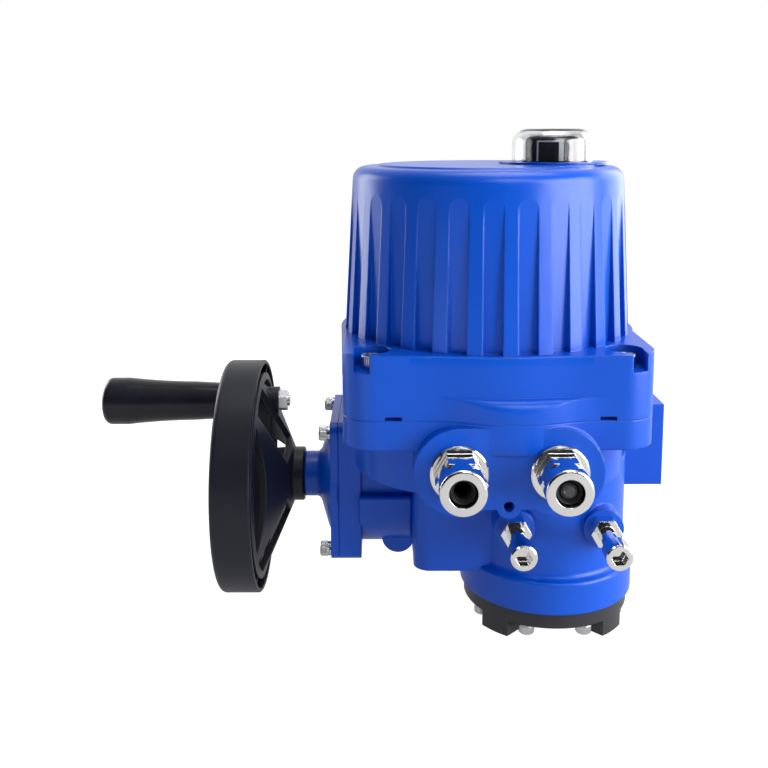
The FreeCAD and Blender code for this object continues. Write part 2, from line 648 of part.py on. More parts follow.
# side cover: closes the worm's bay and carries its outer bearing in a bell with a sleeve
def worm_cover():
    piece = Piece("worm_cover")
    plate = piece.sketch()
    rounded(plate, at.side_flange_half_z, at.side_flange_half_y, at.side_flange_corner)
    piece.extrude(plate, at.side_plate)
    sleeve_end = hub_face - side_face - at.gasket - 0.5
    bell = at.side_plate + at.bell_height
    piece.revolve([
        (0, 1), (at.bell_foot, 1), (at.bell_foot, at.side_plate), (at.bell_foot - 6, at.side_plate + 3),
        (at.sleeve_outer + 5, bell - 2), (at.sleeve_outer, bell + 2, -8), (at.sleeve_outer, sleeve_end - 1),
        (at.sleeve_outer - 1, sleeve_end), (0, sleeve_end),
    ])
    piece.rod(at.bearing_outer, at.bearing_width + 2, (0, 0, -1), cut=True)
    piece.rod(at.shaft_radius + 6, sleeve_end, (0, 0, 1), cut=True)
    for x in (-1, 1):
        for y in (-1, 1):
            piece.rod(4.4, 20, (x * at.side_bolt_z, y * at.side_bolt_y, -1), cut=True)
    finish(piece, (-side_face - at.gasket, *worm_axis[1:]), "left")
    gasket = Piece("worm_cover_gasket")
    sheet_sketch = gasket.sketch()
    rounded(sheet_sketch, at.side_flange_half_z - 0.5, at.side_flange_half_y - 0.5, at.side_flange_corner)
    circle(sheet_sketch, at.gear_bay_radius + 1)
    for x in (-1, 1):
        for y in (-1, 1):
            circle(sheet_sketch, 4.4, x * at.side_bolt_z, y * at.side_bolt_y)
    gasket.extrude(sheet_sketch, at.gasket)
    finish(gasket, (-side_face, *worm_axis[1:]), "left")
    outer = -side_face - at.gasket - at.side_plate
    washer = [(outer, y, z) for y, z in side_bolt_spots]
    group("worm_cover_washers", spring_washer("side_washer", 8), washer, "left")
    bolt = [(outer - 2, y, z) for y, z in side_bolt_spots]
    group("worm_cover_bolts", cap_screw("side_bolt", 8, at.side_plate + 15), bolt, "left")


# cable glands: a flanged body with a hexagon, a cap nut over it and a rubber ring inside
def cable_glands():
    entries = [(-x, -pad_face, at.gland_level) for x in (at.gland_left, at.gland_right)]
    body = turned("gland_body", [
        (at.gland_hole, -14), (at.entry_radius - 0.1, -14), (at.entry_radius - 0.1, 0), (at.gland_flange, 0),
        (at.gland_flange, at.gland_foot - 1), (at.gland_flange - 1, at.gland_foot),
        (at.gland_flats / 2, at.gland_foot), (at.gland_flats / 2 - 2, at.gland_foot + 0.5),
        (at.gland_flats / 2 - 2, 22), (at.gland_hole + 1.5, 22), (at.gland_hole + 1.5, 4), (at.gland_hole, 4),
    ])
    nut = body.sketch(z=at.gland_foot - 0.5)
    hexagon(nut, at.gland_flats)
    circle(nut, at.gland_hole + 1.5)
    body.extrude(nut, at.gland_hex + 0.5)
    group("gland_bodies", body, entries, "front")
    start = at.gland_foot + at.gland_hex + 1.5
    tip = at.gland_length
    cap = turned("gland_cap", [
        (at.gland_flats / 2 - 1.9, start), (at.gland_tip, start), (at.gland_tip, tip - 2),
        (at.gland_tip - 2, tip, 2), (at.gland_hole, tip), (at.gland_hole, 24), (at.gland_flats / 2 - 1.9, 24),
    ])
    flats = cap.sketch(z=start)
    hexagon(flats, at.gland_flats)
    circle(flats, at.gland_flats / 2 - 1.9)
    cap.extrude(flats, at.gland_cap_hex)
    group("gland_caps", cap, entries, "front")
    seal = turned("gland_seal", [
        (at.gland_hole - 4, 6), (at.gland_hole + 1.4, 6), (at.gland_hole + 1.4, 23.8),
        (at.gland_hole - 0.1, 23.8), (at.gland_hole - 0.1, tip - 6), (at.gland_hole - 2, tip - 3),
        (at.gland_hole - 4, tip - 8),
    ])
    group("gland_seals", seal, entries, "front")
    plug = turned("gland_plug", [
        (0, 5), (at.gland_hole - 4.1, 5), (at.gland_hole - 4.1, tip - 6), (at.gland_hole - 7, tip - 3),
        (0, tip - 3),
    ])
    finish(plug, entries[1], "front")


# travel stops: two long screws, locked by nuts, whose inner ends meet the worm wheel's flanks
def travel_stops():
    reach = stop_boss_face + at.stop_head_reach - at.stop_head_height
    shank = reach - at.stop_end - at.stop_play
    screw = cap_screw("stop_screw", at.stop_thread, shank, at.stop_head_radius, at.stop_head_height)
    heads = [(side * at.stop_spread, -reach, at.axis_level) for side in (-1, 1)]
    group("stop_screws", screw, heads, "front")
    nut = Piece("stop_nut")
    face = nut.sketch()
    hexagon(face, at.stop_nut_flat)
    circle(face, at.stop_thread / 2 + 0.02)
    nut.extrude(face, at.stop_nut_height)
    seats = [(side * at.stop_spread, -stop_boss_face, at.axis_level) for side in (-1, 1)]
    group("stop_nuts", nut, seats, "front")


def base_ring_screws():
    spots = ring_spots(at.mount_pcd / 2, 8, 22.5, at.lug_height)
    washer = [(x, y, z - 2) for x, y, z in spots]
    group("base_ring_washers", spring_washer("ring_washer", 8), washer)
    screws = [(x, y, z - 2) for x, y, z in spots]
    group("base_ring_screws", cap_screw("ring_screw", 8, at.ring_thickness + 14), screws, "down")


# output: the drive sleeve that takes the valve stem, in two bushes, with the worm wheel on it
def drive_sleeve():
    top = at.tub_floor + at.plate_thickness
    piece = turned("drive_sleeve", [
        (0, at.sleeve_bottom + at.bore_depth), (at.bore_radius, at.sleeve_bottom + at.bore_depth),
        (at.bore_radius, at.sleeve_bottom), (at.sleeve_radius, at.sleeve_bottom),
        (at.sleeve_radius, at.bush_top + 0.3), (at.collar_radius, at.bush_top + 0.3),
        (at.collar_radius, hub_bottom), (at.sleeve_radius, hub_bottom), (at.sleeve_radius, top - 1),
        (at.sleeve_radius - 1, top), (0, top),
    ])
    piece.block((-at.key_width / 2, 0, at.sleeve_bottom - 1),
                (at.key_width / 2, at.bore_radius + 3.3, at.sleeve_bottom + at.bore_depth), cut=True)
    finish(piece)
    inner = at.sleeve_radius + at.running_gap
    outer = at.sleeve_radius + at.bush_wall - 0.02
    rings = (("output_seal", ring_top + 1, ring_top + 9), ("lower_bush", ring_top + 10, at.bush_top),
             ("upper_bush", at.tub_floor, top))
    for name, low, high in rings:
        finish(turned(name, [(inner, low), (outer, low), (outer, high), (inner, high)]))


def bearing_plates():
    seat = at.sleeve_radius + at.bush_wall
    edge = at.chamber_radius - 0.1
    low = ring_top + at.carrier_thickness
    carrier = turned("bearing_carrier", [
        (seat, ring_top), (edge, ring_top), (edge, low), (seat + 8, low), (seat + 8, at.bush_top),
        (seat, at.bush_top),
    ])
    finish(carrier)
    piece = Piece("gear_plate")
    disc = piece.sketch(z=at.tub_floor)
    circle(disc, at.plate_radius)
    circle(disc, at.sleeve_radius + at.bush_wall)
    for x, y, _ in ring_spots(at.plate_screw_circle, 4, 0, 0):
        circle(disc, 2.8, x, y)
    piece.extrude(disc, at.plate_thickness)
    finish(piece)
    spots = ring_spots(at.plate_screw_circle, 4, 0, at.tub_floor + at.plate_thickness)
    group("gear_plate_screws", cap_screw("plate_screw", 5, 12), spots)


def worm_wheel():
    tip = wheel_pitch + at.gear_module * 0.85
    piece = Piece("worm_wheel")
    rim = piece.sketch(z=at.axis_level - at.wheel_width / 2)
    reach = at.stop_end
    edge = root(tip * tip - reach * reach)
    outline(rim, [(-reach, -reach), (edge, -reach), (-reach, edge, tip)])
    piece.extrude(rim, at.wheel_width)
    piece.rod(at.wheel_hub, hub_top - hub_bottom, (0, 0, hub_bottom))
    half = at.wheel_width
    slot = piece.sketch(x=half * sine(lead_angle), z=at.axis_level - half * cosine(lead_angle))
    slot.AttachmentOffset = FreeCAD.Placement(Vector(), Rotation(Vector(0, -1, 0), lead_angle.value))
    slot.setExpression("AttachmentOffset.Rotation.Angle", lead_angle.text)
    tooth_gap(slot, at.gear_module, at.wheel_teeth, at.mesh_gap / 2)
    slots = piece.extrude(slot, half * 2, cut=True, back=True)
    piece.repeat([slots], at.wheel_teeth)
    piece.rod(at.sleeve_radius, at.parting, (0, 0, 0), cut=True)
    finish(piece)


def tooth_gap(sketch, module, teeth, gap):
    """One gap between teeth, centred on the sketch's Y axis: straight flanks, wider by the gap."""
    pitch = module * teeth / 2
    middle = module * (math.pi / 4) + gap
    slope = sine(20 + 90 / teeth) / cosine(20 + 90 / teeth)
    low = middle - module * 1.1 * slope
    high = middle + module * 1.3 * slope
    outline(sketch, [
        (-low, pitch - module * 1.1), (low, pitch - module * 1.1),
        (high, pitch + module * 1.3), (-high, pitch + module * 1.3),
    ])


def worm_shaft():
    lead = at.gear_module * math.pi
    core = at.worm_pitch_radius - at.gear_module
    shaft = at.shaft_radius
    hub_end = hub_face + at.hub_length + 1
    half = at.worm_length / 2
    piece = Piece("worm_shaft")
    piece.revolve([
        (0, -hub_end), (shaft - 1, -hub_end), (shaft, 1 - hub_end), (shaft, -half - 22),
        (shaft + 3, -half - 22), (shaft + 3, -half - 4), (core, -half), (core, half), (shaft, half),
        (shaft, at.neck_right - 9), (0, at.neck_right - 9),
    ])
    start = lead * -1.75
    thread = piece.sketch("XZ_Plane", y=start)
    slope = sine(20) / cosine(20)
    thick = lead / 4 - 0.05
    crest = at.worm_pitch_radius + at.gear_module * 0.85
    outline(thread, [
        (core - 0.4, -thick - at.gear_module * 1.1 * slope), (crest, at.gear_module * 0.85 * slope - thick),
        (crest, thick - at.gear_module * 0.85 * slope), (core - 0.4, thick + at.gear_module * 1.1 * slope),
    ])
    helix = piece.feature("PartDesign::AdditiveHelix")
    helix.Profile = thread
    helix.ReferenceAxis = (thread, ["V_Axis"])
    helix.Mode = "pitch-height-angle"
    helix.setExpression("Pitch", lead.text)
    helix.setExpression("Height", (lead * 3.5).text)
    piece.body.Tip = helix
    finish(piece, worm_axis, "right")
    width = at.bearing_width
    inner = shaft + 0.05
    race = turned("worm_bearing", [
        (inner, 0), (14, 0), (14, 1), (17, 1), (17, 0), (at.bearing_outer, 0), (at.bearing_outer, width),
        (17, width), (17, width - 1), (14, width - 1), (14, width), (inner, width),
    ])
    bearings = [-side_face - at.gasket - width - 0.8, -half - 22 - width, at.neck_right - 22]
    group("worm_bearings", race, [(x, *worm_axis[1:]) for x in bearings], "right")
    seal = turned("worm_seal", [(inner, 0), (at.shaft_radius + 6, 0), (at.shaft_radius + 6, 7), (inner, 7)])
    finish(seal, (-hub_face + 3, *worm_axis[1:]), "right")


def spur_gear(name, teeth, bore, first_gap):
    """A spur gear about its own Z axis, with a gap between teeth at the given angle from X."""
    teeth = size(teeth)
    pitch = at.spur_module * teeth / 2
    piece = Piece(name)
    blank = piece.sketch()
    circle(blank, pitch + at.spur_module * 0.8)
    circle(blank, bore)
    piece.extrude(blank, at.spur_width)
    gap = piece.sketch(z=-1, turn=first_gap - 90)
    tooth_gap(gap, at.spur_module, teeth, at.spur_gap)
    gaps = piece.extrude(gap, at.spur_width + 2, cut=True, back=True)
    piece.repeat([gaps], teeth)
    return piece


def spur_train():
    towards = at.train_lean + 180
    first_gap = towards + 180 / at.worm_gear_teeth
    worm_gear = spur_gear("worm_gear", at.worm_gear_teeth, at.shaft_radius, first_gap)
    finish(worm_gear, (-spur_left, *worm_axis[1:]), "right")
    idler = spur_gear("idler_gear", at.idler_teeth, at.idler_axle + at.running_gap, towards + 180)
    finish(idler, (-spur_left, *idler_axis[1:]), "right")
    axle = turned("idler_axle", [
        (0, -2.5), (at.idler_axle + 2, -2.5), (at.idler_axle + 2, -0.3), (at.idler_axle, -0.3),
        (at.idler_axle, bracket_left + spur_left), (0, bracket_left + spur_left),
    ])
    finish(axle, (-spur_left, *idler_axis[1:]), "right")


# motor: stator in a ribbed can on a bracket, rotor with its pinion
def motor():
    length = motor_left - at.motor_right
    can = turned("motor_housing", [
        (at.rotor_radius + 1, 6), (at.rotor_radius + 1, length - 6), (10.1, length - 6), (10.1, length),
        (at.motor_radius - 2, length), (at.motor_radius, length - 2), (at.motor_radius, 2),
        (at.motor_radius - 2, 0), (10.1, 0), (10.1, 6),
    ])
    groove = can.sketch("XY_Plane", z=8)
    outline(groove, [(-2, at.motor_radius - 3), (2, at.motor_radius - 3), (2, at.motor_radius + 3),
                     (-2, at.motor_radius + 3)])
    grooves = can.extrude(groove, length - 16, cut=True, back=True)
    can.repeat([grooves], 12)
    finish(can, (-motor_left, *motor_axis[1:]), "right")
    pinion_at = motor_left - spur_left
    rotor = spur_gear("motor_rotor", at.pinion_teeth, 2, at.train_lean + 180 / at.pinion_teeth)
    rotor.revolve([
        (0, -2), (at.rotor_shaft, -2), (at.rotor_shaft, 8 - pinion_at), (at.rotor_radius, 8 - pinion_at),
        (at.rotor_radius, length - 8 - pinion_at), (at.rotor_shaft, length - 8 - pinion_at),
        (at.rotor_shaft, length - 2 - pinion_at), (0, length - 2 - pinion_at),
    ])
    finish(rotor, (-spur_left, *motor_axis[1:]), "right")
    bearings = [(-motor_left, *motor_axis[1:]), (-at.motor_right - 6, *motor_axis[1:])]
    inner = at.rotor_shaft + 0.05
    bearing = turned("motor_bearing", [(inner, 0), (10, 0), (10, 6), (inner, 6)])
    group("motor_bearings", bearing, bearings, "right")
    bracket = Piece("motor_bracket")
    thick = at.bracket_thickness
    back = motor_axis[1] + at.motor_radius
    bracket.block((bracket_left, motor_axis[1] - at.motor_radius - 4, at.tub_floor),
                  (bracket_left + thick, back, at.tub_floor + at.bracket_height))
    bracket.block((bracket_left, back - 20, at.tub_floor), (bracket_left + 40, back, at.tub_floor + thick))
    bracket.rod(10.1, 20, (bracket_left - 5, *motor_axis[1:]), "right", cut=True)
    finish(bracket)


def electrics():
    plate_level = at.chassis_level
    thick = at.chassis_thickness
    plate = Piece("chassis_plate")
    disc = plate.sketch(x=cover_x, z=plate_level)
    circle(disc, chassis_radius)
    circle(disc, 20, at.cover_offset, 0)
    circle(disc, 14, -70, -30)
    plate.extrude(disc, thick)
    finish(plate)
    spots = [polar(chassis_radius - at.post_inset, angle) for angle in (213.5, 305, 37.5, 114)]
    posts = [(x + cover_x, y, at.tub_floor) for x, y in spots]
    post = turned("post", [(0, 0), (5, 0), (5, plate_level - at.tub_floor), (0, plate_level - at.tub_floor)])
    group("chassis_posts", post, posts)
    screws = [(x, y, plate_level + thick) for x, y, _ in posts]
    screw = turned("pan_screw", [(0, 0), (4, 0), (4, 1.6), (2.6, 2.8), (0, 2.8)])
    group("chassis_screws", screw, screws)
    top = plate_level + thick
    terminals = Piece("terminal_block")
    left = cover_x - 52
    front = 20 - chassis_radius
    terminals.block((left, front, top), (left + 100, front + 22, top + 12))
    terminals.block((left, front + 6, top + 12), (left + 100, front + 16, top + 20))
    slot = terminals.block((left + 5, front - 2, top + 4), (left + 10, front + 6, top + 14), cut=True)
    row = terminals.feature("PartDesign::LinearPattern")
    row.Originals = [slot]
    row.Direction = (terminals.origin("X_Axis"), [""])
    row.Length = 90
    row.Occurrences = 10
    terminals.body.Tip = row
    finish(terminals)
    capacitor = turned("run_capacitor", [
        (0, 0), (at.capacitor_radius, 0), (at.capacitor_radius, 52), (at.capacitor_radius - 3, 55), (6, 55),
        (6, 59), (0, 59),
    ])
    finish(capacitor, (cover_x - chassis_radius + 40, 30, top))
    heater = Piece("heater")
    heater.block((-30, 34, top), (12, 62, top + 4))
    fin = heater.block((-29, 34, top + 4), (-27, 62, top + 22))
    row = heater.feature("PartDesign::LinearPattern")
    row.Originals = [fin]
    row.Direction = (heater.origin("X_Axis"), [""])
    row.Length = 38
    row.Occurrences = 6
    heater.body.Tip = row
    finish(heater)
    for number, angle in enumerate((0, 90)):
        low = plate_level + 14 + 12 * number
        cam = Piece(("open_cam", "close_cam")[number])
        face = cam.sketch(z=low)
        lobe = at.cam_radius
        heel = lobe * 0.8
        outline(face, [
            polar(lobe, angle), (*polar(lobe, angle + 120), lobe), polar(heel, angle + 130),
            (*polar(heel, angle + 240), heel), (*polar(heel, angle + 350), heel),
        ])
        circle(face, at.stem_radius)
        cam.extrude(face, 6)
        finish(cam)
    bracket = Piece("switch_bracket")
    bracket.block((34, -14, top), (50, 14, top + 2))
    bracket.block((34, -14, top), (36, 14, top + 32))
    finish(bracket)
    switch = Piece("limit_switch")
    switch.block((0, -12, 0), (12, 12, 9))
    switch.block((-1.6, -2, 3), (0, 2, 6))
    low = plate_level + 13
    group("limit_switches", switch, [(21.8, 0, low), (21.8, 0, low + 12)])


# position indicator: a shaft from the sleeve through the chassis plate to the drum, with two cams
def indicator_shaft():
    low = at.tub_floor + at.plate_thickness
    top = at.rim_level + at.shoulder + at.disc_rise + 1
    shaft = turned("indicator_shaft", [
        (0, low), (at.stem_radius + 6, low), (at.stem_radius + 6, low + 6), (at.stem_radius, low + 6),
        (at.stem_radius, top), (0, top),
    ])
    finish(shaft)


# handwheel: a dished wheel with three broad spokes, a hollow ribbed rim and a revolving handle
def handwheel():
    piece = Piece("handwheel")
    inner = at.wheel_radius - at.rim_depth
    near = rim_face - hub_face
    far = near + at.rim_width
    floor = far - 8
    wall = at.wheel_radius - at.rim_wall
    piece.revolve([
        (at.shaft_radius, 0), (at.hub_radius - 1, 0), (at.hub_radius, 1), (at.hub_radius, at.web_root),
        (inner, near), (inner + at.rim_wall, near), (inner + at.rim_wall, floor), (wall, floor), (wall, near),
        (at.wheel_radius - 1, near), (at.wheel_radius, near + 1), (at.wheel_radius, far - 5),
        (at.wheel_radius - 5, far, 5), (inner + 2, far), (inner, far - 2),
        (inner - 1.5, near + at.web_thickness), (at.hub_radius, at.web_root + at.web_thickness),
        (at.hub_radius - 1, at.hub_length), (at.shaft_radius, at.hub_length),
    ])
    handwheel_windows(piece)
    rib = piece.block((inner + 1, -1.5, near + 3), (at.wheel_radius - 1, 1.5, floor + 1))
    piece.repeat([rib], 12)
    x, y = polar(at.handle_radius, at.handle_angle)
    piece.rod(13, 20, (x, y, at.handle_seat - 20))
    piece.rod(at.axle_radius, 30, (x, y, at.handle_seat - 25), cut=True)
    start = (-8 * math.sin(SCREW_LEAN), -8 * math.cos(SCREW_LEAN), at.hub_length - 6)
    piece.rod(3, 20, start, "hub_hole", cut=True)
    finish(piece, (-hub_face, *worm_axis[1:]), "left")
    handle(x, y)


def handwheel_windows(piece):
    """Three straight slots from the hub out to the rim, and a segment open between each two."""
    reach = at.window_outer
    slot = piece.sketch(turn=at.slot_angle)
    half = at.slot_width / 2
    end = root(reach * reach - half * half)
    outline(slot, [(at.slot_start, -half), (end, -half), (end, half, reach), (at.slot_start, half)])
    slots = piece.extrude(slot, at.rim_width * 3, cut=True, back=True)
    piece.repeat([slots], 3)
    segment = piece.sketch(turn=at.slot_angle - 60)
    half = root(reach * reach - at.window_chord * at.window_chord)
    outline(segment, [(at.window_chord, -half), (at.window_chord, half, reach)])
    segments = piece.extrude(segment, at.rim_width * 3, cut=True, back=True)
    piece.repeat([segments], 3)


def handle(x, y):
    seat = (-hub_face - at.handle_seat, worm_axis[1] + y, worm_axis[2] + x)
    length = at.grip_reach - at.handle_seat
    rim = rim_face + at.rim_width - hub_face - at.handle_seat
    bore = at.axle_radius + at.running_gap * 3
    well = at.axle_radius + 4
    grip = turned("handle_grip", [
        (bore, 0.4), (13, 0.4), (14, 1.5), (at.grip_root, rim), (at.grip_root + 1.6, rim + 30),
        (at.grip_radius, length - 22, -600), (at.grip_radius, length - 7), (at.grip_radius - 7, length, 7),
        (well, length), (well, length - 22), (bore, length - 22),
    ])
    finish(grip, seat, "left")
    axle = turned("handle_axle", [
        (0, -30), (at.axle_radius, -30), (at.axle_radius, length - 21.6), (well - 0.8, length - 21.6),
        (well - 0.8, length - 14), (0, length - 14),
    ])
    finish(axle, seat, "left")
    cap = turned("grip_cap", [(0, length - 4), (well, length - 4), (well, length - 0.6), (0, length)])
    finish(cap, seat, "left")
    nut = Piece("handle_nut")
    face = nut.sketch(z=-28)
    hexagon(face, 17)
    circle(face, at.axle_radius)
    nut.extrude(face, 8)
    finish(nut, seat, "left")
    screw = turned("hub_screw", [(0, -13), (3, -13), (3, 0), (4.2, 0), (4.2, 2), (3.2, 3), (0, 3)])
    screw.block((-5, -0.7, 1.4), (5, 0.7, 5), cut=True)
    spot = (-hub_face - at.hub_length + 6, worm_axis[1] - at.hub_radius * math.cos(SCREW_LEAN),
            worm_axis[2] - at.hub_radius * math.sin(SCREW_LEAN))
    finish(screw, spot, "hub_screw")


base_ring()
base_casting()
cover_seal()
top_cover()
cover_bolts()
window()
worm_cover()
cable_glands()
travel_stops()
base_ring_screws()
drive_sleeve()
bearing_plates()
worm_wheel()
worm_shaft()
spur_train()
motor()
electrics()
indicator_shaft()
handwheel()
doc.recompute()


def check_and_write():
    os.makedirs("parts", exist_ok=True)
    for item in doc.Objects:
        if "Invalid" in item.State or "Error" in item.State:
            raise RuntimeError(f"{item.Label} failed: {item.State}")
    for node in nodes:
        shape = node.Shape
        if shape.isNull() or not shape.isValid() or not shape.Solids:
            raise RuntimeError(f"{node.Label} has no valid shape")
        shape.exportStep(f"parts/{node.Label}.step")
        print(node.Label, len(shape.Solids), round(shape.Volume))


check_and_write()
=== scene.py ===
"""The electric valve actuator dressed for its portrait.

Powder coat, nickel, rubber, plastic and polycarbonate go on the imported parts, and the small trim is added.
"""
import bpy
import math
from mathutils import Matrix, Vector


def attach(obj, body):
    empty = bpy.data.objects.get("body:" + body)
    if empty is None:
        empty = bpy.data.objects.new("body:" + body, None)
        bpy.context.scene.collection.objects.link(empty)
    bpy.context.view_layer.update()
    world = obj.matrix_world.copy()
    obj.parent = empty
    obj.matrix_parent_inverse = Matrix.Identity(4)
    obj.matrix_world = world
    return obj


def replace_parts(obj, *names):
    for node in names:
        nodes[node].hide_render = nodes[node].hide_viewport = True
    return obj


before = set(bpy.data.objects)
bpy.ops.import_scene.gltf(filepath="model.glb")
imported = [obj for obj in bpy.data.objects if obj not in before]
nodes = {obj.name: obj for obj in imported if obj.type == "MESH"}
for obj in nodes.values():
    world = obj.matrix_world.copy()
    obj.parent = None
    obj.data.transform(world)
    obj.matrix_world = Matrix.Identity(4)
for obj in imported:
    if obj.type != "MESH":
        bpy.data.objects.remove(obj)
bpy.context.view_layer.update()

# The camera stands in front of the cable glands and looks down a little, as in the photograph.
# Its optical axis passes above the middle of the picture, so the lens is shifted.
image_width, axis_above_middle = 768, 122
eye = (-0.14256, -0.80223, 0.42297)
look_down, roll = 0.13974, -0.0037
lens = bpy.data.cameras.new("portrait_lens")
lens.lens = 44.27
lens.sensor_width = 36
lens.shift_y = -axis_above_middle / image_width
lens.clip_end = 30
portrait = bpy.data.objects.new("portrait_camera", lens)
portrait.location = eye
portrait.rotation_mode = "QUATERNION"
pitch = Matrix.Rotation(math.pi / 2 - look_down, 3, "X")
portrait.rotation_quaternion = (pitch @ Matrix.Rotation(roll, 3, "Z")).to_quaternion()
bpy.context.scene.collection.objects.link(portrait)
bpy.context.scene.camera = portrait


# The base ring is turned steel with four milled lugs for the valve's flange, sprayed in black satin enamel.
# The enamel has a fine grain and drifts a little in colour.
class Socket:
    """One output of a finish's nodes. Arithmetic on it adds the Math nodes that work it out."""

    def __init__(self, finish, socket):
        self.finish = finish
        self.socket = socket

    def math(self, operation, *values):
        return self.finish.add("Math", {"operation": operation}, *values)

    def __add__(self, other):
        return self.math("ADD", self, other)

    def __sub__(self, other):
        return self.math("SUBTRACT", self, other)

    def __rsub__(self, other):
        return self.math("SUBTRACT", other, self)

    def __mul__(self, other):
        return self.math("MULTIPLY", self, other)

    __radd__ = __add__
    __rmul__ = __mul__


class Finish:
    """A material or world, with methods for the nodes that its finish is made from."""

    def __init__(self, name, owner=None):
        self.owner = owner or bpy.data.materials.new(name)
        self.owner.use_nodes = True
        self.tree = self.owner.node_tree
        self.tree.nodes.clear()

    def add(self, kind, settings=None, *values, output=0, places=None, **named):
        """Puts in one node: settings first, then its sockets' values or links, by order, place or name."""
        node = self.tree.nodes.new("ShaderNode" + kind)
        for key, value in (settings or {}).items():
            setattr(node, key, value)
        for socket, value in [*enumerate(values), *(places or {}).items(), *named.items()]:
            target = node.inputs[socket if isinstance(socket, int) else socket.replace("_", " ")]
            if isinstance(value, Socket):
                self.tree.links.new(value.socket, target)
            else:
                target.default_value = value
        return Socket(self, node.outputs[output] if node.outputs else None)

    def parts(self, vector):
        """A vector's three components."""
        first = self.add("SeparateXYZ", None, vector)
        return [Socket(self, output) for output in first.socket.node.outputs]

    def noise(self, scale, detail=2, stretch=(1, 1, 1)):
        """Cloudy noise fixed to the object, with this many blotches to the metre."""
        place = self.add("Mapping", None, self.add("TexCoord", output=3), Scale=stretch)
        return self.add("TexNoise", None, Vector=place, Scale=scale, Detail=detail)

    def ease(self, value, start, end, low, high):
        """A smooth step from low to high while the value goes from start to end."""
        return self.add("MapRange", {"interpolation_type": "SMOOTHSTEP"}, Value=value, From_Min=start,
                        From_Max=end, To_Min=low, To_Max=high)

    def blend(self, factor, first, second):
        """A mix of two colours."""
        return self.add("Mix", {"data_type": "RGBA"}, factor, output=2,
                        places={6: (*first, 1), 7: (*second, 1)})

    def rounded(self, radius):
        """Normals that round the edges off by this much, as paint, plating or tumbling does."""
        return self.add("Bevel", {"samples": 6}, Radius=radius)

    def bump(self, height, depth, strength, edges):
        """Normals of a surface that rises by this depth with the height, laid over rounded edges."""
        return self.add("Bump", None, Strength=strength, Distance=depth, Height=height, Normal=edges)

    def surface(self, **named):
        """The finished material, from its shader's values."""
        self.add("OutputMaterial", None, self.add("BsdfPrincipled", None, **named))
        return self.owner


def dress(material, *names):
    """Gives carried-over nodes their finish."""
    for name in names:
        slots = nodes[name].data.materials
        slots.clear()
        slots.append(material)


enamel = Finish("black_enamel")
enamel_grain = enamel.noise(500.0, 2)
enamel_drift = enamel.noise(14.0, 2)
dress(enamel.surface(
    Base_Color=enamel.blend(enamel_drift, (0.010, 0.010, 0.014), (0.017, 0.017, 0.022)),
    Roughness=0.3 + 0.12 * enamel_grain,
    Normal=enamel.bump(enamel_grain, 0.0001, 0.2, enamel.rounded(0.001))), "base_ring")


# Eight M8 socket screws hold the ring from below, over split spring washers: stainless steel, the heads
# turned and then knurled, the washers wound from square wire and cut, so that one end stands proud.
stainless = Finish("stainless_steel")
turning = stainless.noise(1400.0, 2)
stainless_steel = stainless.surface(
    Base_Color=stainless.blend(turning, (0.5, 0.5, 0.52), (0.74, 0.74, 0.76)), Metallic=1.0,
    Roughness=0.18 + 0.14 * turning, Normal=stainless.rounded(0.0005))
dress(stainless_steel, "base_ring_screws")


def piece_of(name, points, faces, material, body):
    """A piece made point by point, riding on a body."""
    mesh = bpy.data.meshes.new(name)
    mesh.from_pydata([tuple(point) for point in points], [], faces)
    mesh.materials.append(material)
    mesh.update()
    piece = bpy.data.objects.new(name, mesh)
    bpy.context.scene.collection.objects.link(piece)
    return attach(piece, body)


def around(outward):
    """Two directions square to the one a screw or ring points in."""
    across = Vector(outward).orthogonal().normalized()
    return across, Vector(outward).cross(across)


knurl_teeth, knurl_seat, knurl_depth = 36, 0.00003, 0.00028
knurl_band = ((0.10, 0), (0.16, 1), (0.84, 1), (0.90, 0))


def knurls(name, seats, outward, radius, height):
    """The knurl rolled into the heads of a set of screws: one band of low straight teeth round each."""
    across, aside = around(outward)
    ring = knurl_teeth * 2
    points, faces = [], []
    for seat in seats:
        start = len(points)
        for along, lift in knurl_band:
            centre = Vector(seat) + Vector(outward) * height * along
            for step in range(ring):
                reach = radius + knurl_seat + knurl_depth * lift * (step % 2)
                turn = math.pi * step / knurl_teeth
                points.append(centre + (across * math.cos(turn) + aside * math.sin(turn)) * reach)
        for low in range(start, start + 3 * ring, ring):
            for step in range(ring):
                following = (step + 1) % ring
                faces.append((low + step, low + following, low + following + ring, low + step + ring))
    return piece_of(name, points, faces, stainless_steel, "housing")


wire_steps, wire_start, wire_turn, cut_lean, end_rise = 60, 4, 352, 6, 0.12
wire_low, wire_high = 0.06, 0.94


def split_washers(name, node, seats, outward, inner, outer, height):
    """Spring washers: a turn of square wire each, cut through at a slant, one end a little proud."""
    across, aside = around(outward)
    square = ((inner, wire_low), (outer, wire_low), (outer, wire_high), (inner, wire_high))
    points, faces = [], []
    for seat in seats:
        start = len(points)
        for step in range(wire_steps + 1):
            turn = math.radians(wire_start + wire_turn * step / wire_steps)
            rise = height * end_rise * (step / wire_steps - 0.5)
            for reach, level in square:
                lean = math.radians(cut_lean) * (level - 0.5)
                spoke = across * math.cos(turn + lean) + aside * math.sin(turn + lean)
                points.append(Vector(seat) + spoke * reach + Vector(outward) * (height * level + rise))
        faces.append((start, start + 1, start + 2, start + 3))
        last = start + wire_steps * 4
        faces.append((last + 3, last + 2, last + 1, last))
        for step in range(wire_steps):
            for side in range(4):
                here, there = start + step * 4 + side, start + step * 4 + (side + 1) % 4
                faces.append((there, here, here + 4, there + 4))
    washers = piece_of(name, points, faces, stainless_steel, "housing")
    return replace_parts(washers, node)


